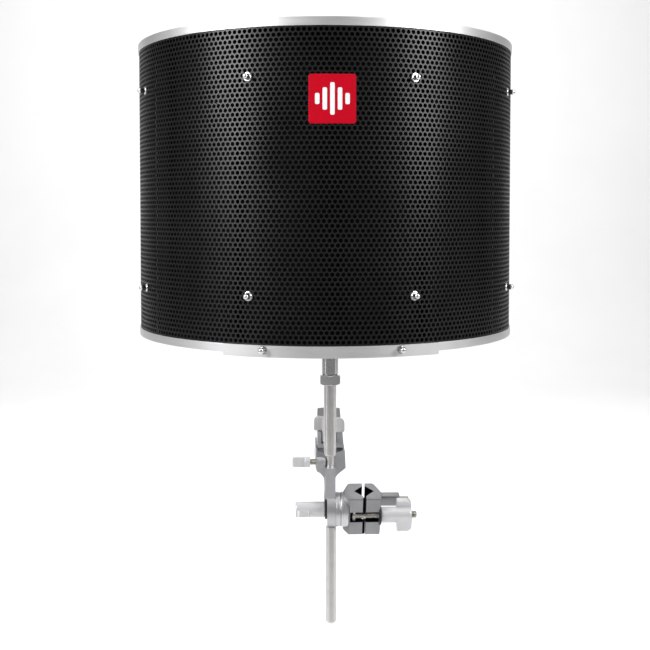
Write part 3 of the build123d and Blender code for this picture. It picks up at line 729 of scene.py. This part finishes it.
# ---- caps, screws and bolts --------------------------------------------------------------
def cap(name, node, sign):
    """A bent channel over one end, with its two edges turned over."""
    t = 1.0 * MM
    top = SHELL_TOP
    r_in = INNER_R - 2.3 * MM
    low = top - CAP_HEIGHT
    profile = [
        (r_in, low),
        (r_in + t, low),
        (r_in + t, top - t),
        (CAP_R - t, top - t),
        (CAP_R - t, low),
        (CAP_R, low),
        (CAP_R, top),
        (r_in, top),
    ]
    mesh = Mesh()
    swept(mesh, [(r, sign * z) for r, z in profile], -90, 90, 120)
    end_y = hi(node).y
    for side in (-1, 1):
        x_in, x_out = AXIS.x + side * r_in, AXIS.x + side * CAP_R
        outline = [
            (x_in, low, 0),
            (x_out, low, 0),
            (x_out, top, 1.2 * MM),
            (x_in, top, 1.2 * MM),
        ]
        points = [(a, AXIS.z + sign * b) for a, b in rounded(outline, 4)]
        mesh.plate(points, (0, end_y, 0), (1, 0, 0), (0, 0, 1), t)
        strip = [(x_in, AXIS.y), (x_out, AXIS.y), (x_out, end_y - t * 0.2), (x_in, end_y - t * 0.2)]
        base = AXIS.z + sign * (top - t)
        mesh.plate([(a, b) for a, b in strip], (0, 0, base), (1, 0, 0), (0, 1, 0), sign * t)
    ring = piece(name, mesh.verts, mesh.faces, CAP, "filter", [node])
    fix_normals(ring)
    return bevel(ring, 0.35 * MM, 3)


def fix_normals(thing):
    work = bmesh.new()
    work.from_mesh(thing.data)
    bmesh.ops.recalc_face_normals(work, faces=work.faces)
    work.to_mesh(thing.data)
    work.free()


def cap_screws(name, node, sign):
    """Button heads with a socket, and their shanks."""
    mesh = Mesh()
    for angle in ROD_ANGLES:
        seat = SHELL_TOP
        if sign < 0 and abs(angle) < 29:
            seat += 2.7 * MM
        origin = polar(ROD_CIRCLE_R, angle, sign * seat)
        head = [
            (1.5, -10.0),
            (1.5, 0.02),
            (3.95, 0.02),
            (3.9, 0.5),
            (3.4, 1.3),
            (2.5, 2.0),
            (1.6, 2.3),
            (1.35, 2.2),
            (1.3, 1.2),
            (0.4, 0.9),
        ]
        mesh.turned([(r * MM, z * MM) for r, z in head], origin, (0, 0, sign), 36)
    return piece(name, mesh.verts, mesh.faces, STEEL, "filter", [node])


DOME = [
    (2.5, 0.0), (2.75, 0.25), (2.78, 0.7), (2.55, 1.4), (2.1, 2.05), (1.5, 2.5), (0.75, 2.75), (0.12, 2.82),
]


def domed_bolts(name, node, places, foot, dome_at):
    """Domed bolt ends that stand off the sheet."""
    mesh = Mesh()
    for angle, z in places:
        origin = polar(foot, angle, z)
        shank = [(1.9 * MM, -52 * MM if foot < 0.201 else -5 * MM), (1.9 * MM, dome_at)]
        dome = [(r * MM, dome_at + h * MM) for r, h in DOME]
        mesh.turned(shank + dome, origin, outward(angle), 32)
    return piece(name, mesh.verts, mesh.faces, STEEL, "filter", [node])


def washers(name, node, places, foot, radius):
    mesh = Mesh()
    for angle, z in places:
        ring = [
            (2.05 * MM, 0.05 * MM),
            (radius - 0.1 * MM, 0.05 * MM),
            (radius, 0.15 * MM),
            (radius - 0.05 * MM, 0.35 * MM),
            (radius - 0.45 * MM, 0.5 * MM),
            (radius - 1.1 * MM, 0.5 * MM),
            (2.9 * MM, 1.0 * MM),
            (2.05 * MM, 1.0 * MM),
        ]
        mesh.turned(ring, polar(foot, angle, z), outward(angle), 40)
    return piece(name, mesh.verts, mesh.faces, STEEL, "filter", [node])


def shell_fasteners():
    places = [(angle, z) for angle in BOLT_ANGLES for z in (-BOLT_Z, BOLT_Z)]
    domed_bolts("shell_domed_bolts", "shell_bolts", places, OUTER_R, 5.1 * MM)
    washers("shell_washers", "shell_bolt_washers", places, OUTER_R, 4.35 * MM)
    lock = Mesh()
    for angle, z in places:
        lock.nut(4.9 * MM, 3.9 * MM, 2.0 * MM, polar(OUTER_R + 1.15 * MM, angle, z), outward(angle))
    # The lock nuts wear the dark copy of the steel as painted shade.
    piece(
        "shell_lock_nuts", lock.verts, lock.faces, SHADED_STEEL,
        "filter", ["shell_bolt_spacers"],
    )
    back = Mesh()
    for angle, z in places:
        spot = polar(INNER_R - SHEET_T - 0.3 * MM, angle, z)
        back.nut(7 * MM, 3.0 * MM, 2.0 * MM, spot, -outward(angle))
    piece(
        "shell_back_nuts", back.verts, back.faces, STEEL,
        "filter", ["shell_bolt_nuts"],
    )


def bracket_fasteners():
    z = middle("bracket_bolts").z - AXIS.z
    foot = CAP_R + 2.1 * MM
    places = [(-BRACKET_BOLT_ANGLE, z), (BRACKET_BOLT_ANGLE, z)]
    domed_bolts("bracket_domed_bolts", "bracket_bolts", places, foot, 6.0 * MM)
    stack = Mesh()
    for angle, height in places:
        ring = [(2.05, 0.05), (3.8, 0.05), (3.88, 0.3), (3.8, 0.95), (2.05, 0.95)]
        stack.turned([(r * MM, h * MM) for r, h in ring], polar(foot, angle, height), outward(angle), 40)
        spot = polar(foot + 1.0 * MM, angle, height)
        stack.nut(5.4 * MM, 3.2 * MM, 2.0 * MM, spot, outward(angle), 0.3)
    piece(
        "bracket_nuts_and_washers",
        stack.verts,
        stack.faces,
        STEEL,
        "filter",
        ["bracket_bolt_spacers"],
    )


# ---- badge ---------------------------------------------------------------------------
BAR_HEIGHTS = (10, 20, 29, 20, 10)  # mm, the five plain level-meter bars


def badge():
    """A curved red plate with a raised rim and five plain bars."""
    box_lo, box_hi = lo("badge_plate"), hi("badge_plate")
    width, height = box_hi.x - box_lo.x, box_hi.z - box_lo.z
    centre_z = (box_lo.z + box_hi.z) / 2 - AXIS.z
    foot = OUTER_R + 0.06 * MM
    mesh = Mesh()

    def curved_plate(w, h, corner, r0, r1, dx=0.0):
        columns = 24
        rows = []
        for k in range(columns + 1):
            x = -w / 2 + w * k / columns
            edge = min(w / 2 - abs(x), corner)
            cut = corner - sqrt(max(0.0, corner**2 - (corner - edge) ** 2))
            rows.append((x, h / 2 - cut))
        rings = []
        for x, reach in rows:
            angle = degrees((x + dx) / OUTER_R)
            ring = [
                polar(r0, angle, centre_z - reach),
                polar(r1, angle, centre_z - reach),
                polar(r1, angle, centre_z + reach),
                polar(r0, angle, centre_z + reach),
            ]
            rings.append(ring)
        mesh.rings(rings)

    curved_plate(width, height, 1.6 * MM, foot, foot + 0.55 * MM)
    curved_plate(width - 1.6 * MM, height - 1.6 * MM, 1.2 * MM, foot + 0.5 * MM, foot + 0.78 * MM)
    plate = piece("badge_enamel", mesh.verts, mesh.faces, RED, "filter", ["badge_plate"])
    bevel(plate, 0.12 * MM, 2)
    mesh.verts, mesh.faces = [], []
    for index, bar in enumerate(BAR_HEIGHTS):
        dx = (index - 2) * 6.8 * MM
        curved_plate(4.1 * MM, bar * MM, 1.3 * MM, foot + 0.7 * MM, foot + 1.15 * MM, dx)
    marks = piece("badge_bars", mesh.verts, mesh.faces, WHITE, "filter", ["badge_mark"])
    bevel(marks, 0.1 * MM, 2)


# ---- stem ----------------------------------------------------------------------------
def stem():
    top, bottom = hi("stem_rod").z, lo("stem_rod").z
    rib_top = hi("arm_casting").z - 13.4 * MM
    shoulder = rib_top + 9.82 * MM
    mesh = Mesh()
    profile = [
        (0.2 * MM, bottom),
        (2.4 * MM, bottom),
        (3.0 * MM, bottom + 0.6 * MM),
        (3.0 * MM, rib_top),
        (3.9 * MM, rib_top + 0.02 * MM),
        (4.0 * MM, rib_top + 0.3 * MM),
        (4.0 * MM, shoulder),
        (4.7 * MM, shoulder),
        (5.7 * MM, shoulder + 0.9 * MM),
        (6.0 * MM, shoulder + 1.5 * MM),
        (6.0 * MM, top - 1.0 * MM),
        (5.2 * MM, top),
        (0.2 * MM, top),
    ]
    mesh.turned(profile, (STEM_X, STEM_Y, 0), (0, 0, 1), 96)
    piece("stem_bar", mesh.verts, mesh.faces, STEM, "stem", ["stem_rod"])

    c_lo, c_hi = lo("stem_collar").z, hi("stem_collar").z
    mesh = Mesh()
    profile = [
        (6.05 * MM, c_lo + 13 * MM),
        (6.05 * MM, c_lo),
        (7.2 * MM, c_lo),
        (8.0 * MM, c_lo + 0.8 * MM),
        (8.0 * MM, c_hi - 0.8 * MM),
        (7.2 * MM, c_hi),
        (2.6 * MM, c_hi),
        (2.6 * MM, c_lo + 13.1 * MM),
    ]
    mesh.turned(profile, (STEM_X, STEM_Y, 0), (0, 0, 1), 96)
    piece("stem_socket", mesh.verts, mesh.faces, STEEL, "filter", ["stem_collar"])

    n_lo, n_hi = lo("stem_jam_nut").z, hi("stem_jam_nut").z
    mesh = Mesh()
    mesh.nut(19 * MM, n_hi - n_lo, 6.05 * MM, (STEM_X, STEM_Y, n_lo), (0, 0, 1), pi / 12, 96)
    piece("jam_nut_turned", mesh.verts, mesh.faces, STEEL, "jam_nut", ["stem_jam_nut"])


def lower_rod():
    box_lo, box_hi = lo("lower_rod"), hi("lower_rod")
    x = (box_lo.x + box_hi.x) / 2
    low, shoulder = box_lo.z, box_hi.z - 8.3 * MM
    mesh = Mesh()
    profile = [
        (0.2 * MM, low),
        (2.8 * MM, low),
        (3.2 * MM, low + 0.12 * MM),
        (4.85 * MM, low + 1.9 * MM),
        (5.0 * MM, low + 2.2 * MM),
        (5.0 * MM, shoulder - 0.3 * MM),
        (4.7 * MM, shoulder),
        (3.0 * MM, shoulder + 0.01 * MM),
        (3.0 * MM, box_hi.z),
        (0.2 * MM, box_hi.z),
    ]
    mesh.turned(profile, (x, STEM_Y, 0), (0, 0, 1), 96)
    piece("lower_bar", mesh.verts, mesh.faces, SHADED_LOWER_STEEL, "arm", ["lower_rod"])


# ---- tilt joint ------------------------------------------------------------------------
def tilt_discs():
    """Two turned discs, each with two fine grooves round its rim and a raised ring inside."""
    for name, node, body, sign in (
        ("turned_disc_arm", "arm_tilt_disc", "arm", 1),
        ("turned_disc_clamp", "clamp_tilt_disc", "stand_clamp", -1),
    ):
        box_lo, box_hi = lo(node), hi(node)
        radius = (box_hi.z - box_lo.z) / 2
        width = box_hi.x - box_lo.x
        back = box_lo.x if sign > 0 else box_hi.x
        bore = 4.06 * MM
        profile = [
            (bore, 0.0),
            (radius - 0.7 * MM, 0.0),
            (radius - 0.15 * MM, 0.25 * MM),
            (radius, 0.7 * MM),
        ]
        for groove in (width * 0.36, width * 0.68):
            profile += [
                (radius, groove - 0.3 * MM),
                (radius - 0.28 * MM, groove - 0.12 * MM),
                (radius - 0.28 * MM, groove + 0.12 * MM),
                (radius, groove + 0.3 * MM),
            ]
        profile += [
            (radius, width - 0.6 * MM),
            (radius - 0.2 * MM, width - 0.15 * MM),
            (radius - 0.7 * MM, width - 0.02 * MM),
            (radius * 0.62, width - 0.02 * MM),
            (radius * 0.60, width - 0.5 * MM),
            (bore, width - 0.5 * MM),
        ]
        mesh = Mesh()
        rings = []
        for r, depth in held(profile):
            ring = []
            for k in range(96):
                a = 2 * pi * k / 96
                ring.append(Vector((back + sign * depth, STEM_Y + r * cos(a), TILT_Z + r * sin(a))))
            rings.append(ring)
        mesh.rings(rings + [rings[0]], closed_ends=False)
        weld(piece(name, mesh.verts, mesh.faces, DISC, body, [node], smooth=38))


def weld(thing):
    work = bmesh.new()
    work.from_mesh(thing.data)
    bmesh.ops.remove_doubles(work, verts=work.verts, dist=1e-7)
    bmesh.ops.recalc_face_normals(work, faces=work.faces)
    work.to_mesh(thing.data)
    work.free()


# ---- winged handles -----------------------------------------------------------------------
def wing_handle(name, node, body, base, axis, wing, body_r, body_len, wing_len, reach, bore):
    """A round body with two flat wings set off to either side, like an S from its end."""
    axis, wing = Vector(axis).normalized(), Vector(wing).normalized()
    side = axis.cross(wing)
    length = body_len + wing_len
    mesh = Mesh()
    profile = [
        (bore, length - 1.2 * MM),
        (bore, 0.0),
        (body_r - 0.7 * MM, 0.0),
        (body_r - 0.15 * MM, 0.25 * MM),
        (body_r, 0.9 * MM),
        (body_r, length - 1.4 * MM),
        (body_r - 0.35 * MM, length - 0.5 * MM),
        (body_r - 1.1 * MM, length),
        (bore + 1.0 * MM, length),
        (bore + 0.1 * MM, length - 0.9 * MM),
    ]
    mesh.turned(profile, base, axis, 72)
    thick = body_r * 0.8
    outline = rounded(
        [
            (0.0, body_len, 0),
            (reach, body_len, wing_len * 0.12),
            (reach, length, wing_len * 0.36),
            (0.0, length, 0),
        ],
        7,
    )
    for sign in (1, -1):
        corner = Vector(base) + side * (-sign * body_r if sign > 0 else body_r - thick)
        mesh.plate(outline, corner, wing * sign, axis, thick * -sign * 1.0)
    handle = piece(name, mesh.verts, mesh.faces, HANDLE, body, [node])
    fix_normals(handle)
    return bevel(handle, 0.45 * MM, 3, 40)


def clamp_point(x, y, z):
    """A point in the stand clamp's leaning frame, about the row's origin."""
    c, s = cos(CLAMP_LEAN), sin(CLAMP_LEAN)
    return Vector((x, y * c - z * s, y * s + z * c)) * MM


def clamp_dir(x, y, z):
    return clamp_point(x, y, z) / MM


def handles():
    base_x = lo("stand_clamp_handle").x
    wing_handle(
        "stand_winged_handle", "stand_clamp_handle", "stand_handle",
        clamp_point(base_x / MM, -9.0, 0), (1, 0, 0), clamp_dir(0, 0, -1),
        7.5 * MM, 15.0 * MM, 14.4 * MM, 14.2 * MM, 3.6 * MM,
    )
    wing_handle(
        "tilt_winged_handle", "tilt_handle", "tilt_lock",
        (hi("tilt_handle").x, STEM_Y, TILT_Z),
        (-1, 0, 0), (0, -cos(TILT_WING_LEAN), sin(TILT_WING_LEAN)),
        7.4 * MM, 15.0 * MM, 13.4 * MM, 14.2 * MM, 4.05 * MM,
    )
    stud = middle("upper_clamp_stud")
    wing_handle(
        "upper_winged_handle", "upper_clamp_handle", "upper_handle",
        (stud.x, stud.y, lo("upper_clamp_handle").z), (0, 0, 1), (1, 0, 0),
        7.2 * MM, 10.3 * MM, 13.7 * MM, 15.0 * MM, 3.06 * MM,
    )


# ---- screws of the clamps ----------------------------------------------------------------
def clamp_screws():
    """The visible threads: stand clamp bolt, lug screw and upper stud."""
    end = hi("stand_clamp_bolt").x / MM
    mesh = Mesh()
    a = clamp_point(-11.6, -9.0, 0)
    button = [(0.2, 0), (2.6, 0), (3.1, 0.5), (3.1, 2.0), (0.2, 2.05)]
    mesh.turned([(r * MM, z * MM) for r, z in button], a, (1, 0, 0), 40)
    mesh.thread(3.25 * MM, 1.0 * MM, 8.9 * MM, clamp_point(-9.9, -9.0, 0), (1, 0, 0), 0.35 * MM, 40)
    collar = [(0.2, 0), (3.4, 0), (3.88, 0.5), (3.88, 2.1), (3.4, 2.6), (0.2, 2.6)]
    mesh.turned([(r * MM, z * MM) for r, z in collar], clamp_point(-1.0, -9.0, 0), (1, 0, 0), 48)
    mesh.thread(3.48 * MM, 1.25 * MM, (end - 3.4) * MM, clamp_point(1.5, -9.0, 0), (1, 0, 0), 0.5 * MM, 40)
    tip = [(0.2, 0), (3.3, 0), (3.35, 0.6), (2.9, 1.35), (1.8, 1.8), (0.2, 1.95)]
    mesh.turned([(r * MM, z * MM) for r, z in tip], clamp_point(end - 1.98, -9.0, 0), (1, 0, 0), 40)
    piece("stand_clamp_threaded_bolt", mesh.verts, mesh.faces, THREAD, "stand_clamp",
          ["stand_clamp_bolt"])

    start, stop = lo("stand_clamp_lug_screw").x, hi("stand_clamp_lug_screw").x
    spot = clamp_point(start / MM, *LUG_SCREW)
    mesh = Mesh()
    mesh.thread(2.98 * MM, 1.0 * MM, stop - start - 0.9 * MM, spot, (1, 0, 0), 0.4 * MM, 36)
    tip = [(0.2, 0), (2.75, 0), (2.7, 0.4), (2.2, 0.8), (0.2, 0.95)]
    mesh.turned([(r * MM, z * MM) for r, z in tip], clamp_point(stop / MM - 0.95, *LUG_SCREW), (1, 0, 0), 36)
    piece("lug_threaded_screw", mesh.verts, mesh.faces, THREAD, "stand_jaw",
          ["stand_clamp_lug_screw"])

    stud_lo, stud_hi = lo("upper_clamp_stud"), hi("upper_clamp_stud")
    x, y = middle("upper_clamp_stud").x, middle("upper_clamp_stud").y
    mesh = Mesh()
    mesh.thread(2.98 * MM, 1.0 * MM, stud_hi.z - stud_lo.z - 1.2 * MM, (x, y, stud_lo.z), (0, 0, 1), 0.4 * MM, 36)
    tip = [(0.2, 0), (2.75, 0), (2.6, 0.6), (1.8, 1.15), (0.2, 1.3)]
    mesh.turned([(r * MM, z * MM) for r, z in tip], (x, y, stud_hi.z - 1.32 * MM), (0, 0, 1), 36)
    piece("upper_threaded_stud", mesh.verts, mesh.faces, THREAD, "arm", ["upper_clamp_stud"])


def socket_screw():
    """A small thumb screw: thread, round hub and a flat bevelled tab."""
    box_lo, box_hi = lo("socket_screw"), hi("socket_screw")
    y, z = (box_lo.y + box_hi.y) / 2, (box_lo.z + box_hi.z) / 2
    mesh = Mesh()
    mesh.thread(2.98 * MM, 1.0 * MM, 15.0 * MM, (box_hi.x - 15.05 * MM, y, z), (1, 0, 0), 0.4 * MM, 36)
    hub_x = box_hi.x - 20.45 * MM
    hub = [(0.2, 0), (4.3, 0), (4.9, 0.35), (5.1, 1.0), (5.1, 4.5), (4.6, 5.2), (3.1, 5.4), (0.2, 5.4)]
    mesh.turned([(r * MM, h * MM) for r, h in hub], (hub_x, y, z), (1, 0, 0), 56)
    screw = piece("socket_thumb_screw", mesh.verts, mesh.faces, THREAD, "socket_lock", ["socket_screw"])
    screw.data.materials.append(HANDLE)
    for polygon in screw.data.polygons:
        if polygon.center.x < hub_x + 5.45 * MM:
            polygon.material_index = 1
    mesh = Mesh()
    tab = rounded(
        [
            (box_lo.x, z - 4.9 * MM, 1.4 * MM),
            (hub_x + 0.8 * MM, z - 4.9 * MM, 0),
            (hub_x + 0.8 * MM, z + 4.9 * MM, 0),
            (box_lo.x, z + 4.9 * MM, 1.4 * MM),
        ],
        5,
    )
    mesh.plate(tab, (0, y + 2.6 * MM, 0), (1, 0, 0), (0, 0, 1), 5.2 * MM)
    wing = piece("socket_thumb_tab", mesh.verts, mesh.faces, HANDLE, "socket_lock", ["socket_screw"])
    fix_normals(wing)
    return bevel(wing, 0.9 * MM, 3)


# ---- CAD nodes that keep their shape --------------------------------------------------------
def keep(node, material, width=0.35 * MM, segments=3):
    """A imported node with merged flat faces, rounded edges and a new material."""
    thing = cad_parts[node]
    thing.data.materials.clear()
    thing.data.materials.append(material)
    if width:
        flat = thing.modifiers.new("flat_faces", "DECIMATE")
        flat.decimate_type = "DISSOLVE"
        flat.angle_limit = radians(1.5)
        bevel(thing, width, segments, 28)
    return thing


def kept_nodes():
    for node in ("arm_casting", "upper_clamp_jaw"):
        keep(node, CAST, 0.5 * MM)
    for node in ("stand_clamp_fixed_jaw", "stand_clamp_free_jaw"):
        keep(node, CLAMP_CAST, 0.5 * MM)
    keep("mounting_bracket", CAP, 0.45 * MM)
    for node in ("end_channel_left", "end_channel_right"):
        keep(node, BRUSHED_UP, 0.3 * MM)
    for node in ("stand_clamp_washer", "tilt_washer", "upper_clamp_washer"):
        keep(node, PLASTIC, 0.15 * MM)
    # Painted shade: the gap liner is near-black for the shade in the clamp's gap.
    keep("stand_clamp_gap_liner", SHADE_BLACK, 0)
    keep("foil_layer", FOIL, 0)
    for node in ("tilt_bolt", "upper_clamp_guide_pins", "stand_clamp_cross_pin", "stand_clamp_guide_pin"):
        keep(node, THREAD, 0.2 * MM)
    # Painted shade: the spacer rods are near-black for the shade inside the shell.
    keep("spacer_rods", SHADE_BLACK, 0)
    for node in ("bracket_bolt_nuts", "stem_collar_screw"):
        keep(node, STEEL, 0)


# ---- studio -------------------------------------------------------------------------------
CAMERA_DISTANCE = 1.1068       # from the shell's axis
CAMERA_DROP = 0.0221          # below the shell's mid-height
CAMERA_SIDE = -1.90            # degrees round from straight behind
CAMERA_PITCH = -2.33
LENS = 55.64
SHIFT_Y = -0.112


def camera():
    side = radians(CAMERA_SIDE)
    lens = bpy.data.cameras.new("camera")
    lens.lens = LENS
    lens.sensor_width = 36
    lens.shift_y = SHIFT_Y
    lens.clip_start = 0.02
    thing = bpy.data.objects.new("camera", lens)
    thing.location = (
        AXIS.x + CAMERA_DISTANCE * sin(side),
        AXIS.y - CAMERA_DISTANCE * cos(side),
        AXIS.z - CAMERA_DROP,
    )
    thing.rotation_euler = (radians(90 + CAMERA_PITCH), 0, side)
    bpy.context.scene.collection.objects.link(thing)
    bpy.context.scene.camera = thing


def softbox(name, place, target, width, height, power):
    light = bpy.data.lights.new(name, "AREA")
    light.shape = "RECTANGLE"
    light.size = width
    light.size_y = height
    light.energy = power
    thing = bpy.data.objects.new(name, light)
    thing.location = place
    thing.rotation_euler = (Vector(target) - Vector(place)).to_track_quat("-Z", "Y").to_euler()
    bpy.context.scene.collection.objects.link(thing)


def around(azimuth, distance, height):
    """A place round the shell; 0 degrees is the camera's side."""
    a = radians(azimuth)
    return Vector((AXIS.x + distance * sin(a), AXIS.y - distance * cos(a), AXIS.z + height))


def studio():
    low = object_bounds()[0][2]
    depth, width, bend = 3.0, 4.0, 1.2
    steps = 16
    back = AXIS.y + depth
    rows = [(-3.2, 0.0)] + [
        (back + bend * sin(pi / 2 * k / steps), bend * (1 - cos(pi / 2 * k / steps)))
        for k in range(steps + 1)
    ]
    rows.append((back + bend, 4.5))
    base = low - 0.35
    verts = [(x, y, base + z) for y, z in rows for x in (-width, width)]
    faces = [(2 * k, 2 * k + 1, 2 * k + 3, 2 * k + 2) for k in range(len(rows) - 1)]
    mesh = bpy.data.meshes.new("studio_sweep")
    mesh.from_pydata(verts, [], faces)
    mesh.shade_smooth()
    mesh.materials.append(studio_paper())
    sweep = bpy.data.objects.new("studio_sweep", mesh)
    bpy.context.scene.collection.objects.link(sweep)

    centre = AXIS + Vector((0, 0, -0.05))
    softbox("left_box", around(-54, 1.35, 0.60), centre, 0.6, 1.1, 20)
    softbox("right_box", around(54, 1.35, 0.60), centre, 0.5, 1.1, 15)
    softbox("top_box", AXIS + Vector((0, -0.2, 1.6)), centre, 1.6, 1.2, 10)
    softbox("left_strip", around(-60, 0.75, -0.46), centre - Vector((0, 0, 0.30)), 0.09, 0.44, 0.16)
    softbox("right_strip", around(76, 0.75, -0.46), centre - Vector((0, 0, 0.30)), 0.09, 0.44, 0.16)
    wash_from = Vector((AXIS.x, AXIS.y + 1.0, AXIS.z + 1.8))
    softbox("back_wash_high", wash_from, (AXIS.x, back + 0.9, AXIS.z - 0.2), 3.0, 0.8, 100)

    world = bpy.data.worlds.new("studio_world")
    bpy.context.scene.world = world
    world.use_nodes = True
    sky = world.node_tree.nodes["Background"]
    sky.inputs["Color"].default_value = (1, 1, 1, 1)
    sky.inputs["Strength"].default_value = 0.2
    bpy.context.scene.view_settings.view_transform = "Standard"


# ---- build ----------------------------------------------------------------------------------
camera()
sheets()
wool_layer("outer_felt", "outer_wool_layer", 0.4)
wool_layer("inner_felt", "inner_wool_layer", 1.7)
cap("top_channel", "top_cap", 1)
cap("bottom_channel", "bottom_cap", -1)
cap_screws("top_button_screws", "top_cap_screws", 1)
cap_screws("bottom_button_screws", "bottom_cap_screws", -1)
shell_fasteners()
bracket_fasteners()
badge()
stem()
lower_rod()
tilt_discs()
handles()
clamp_screws()
socket_screw()
kept_nodes()
studio()
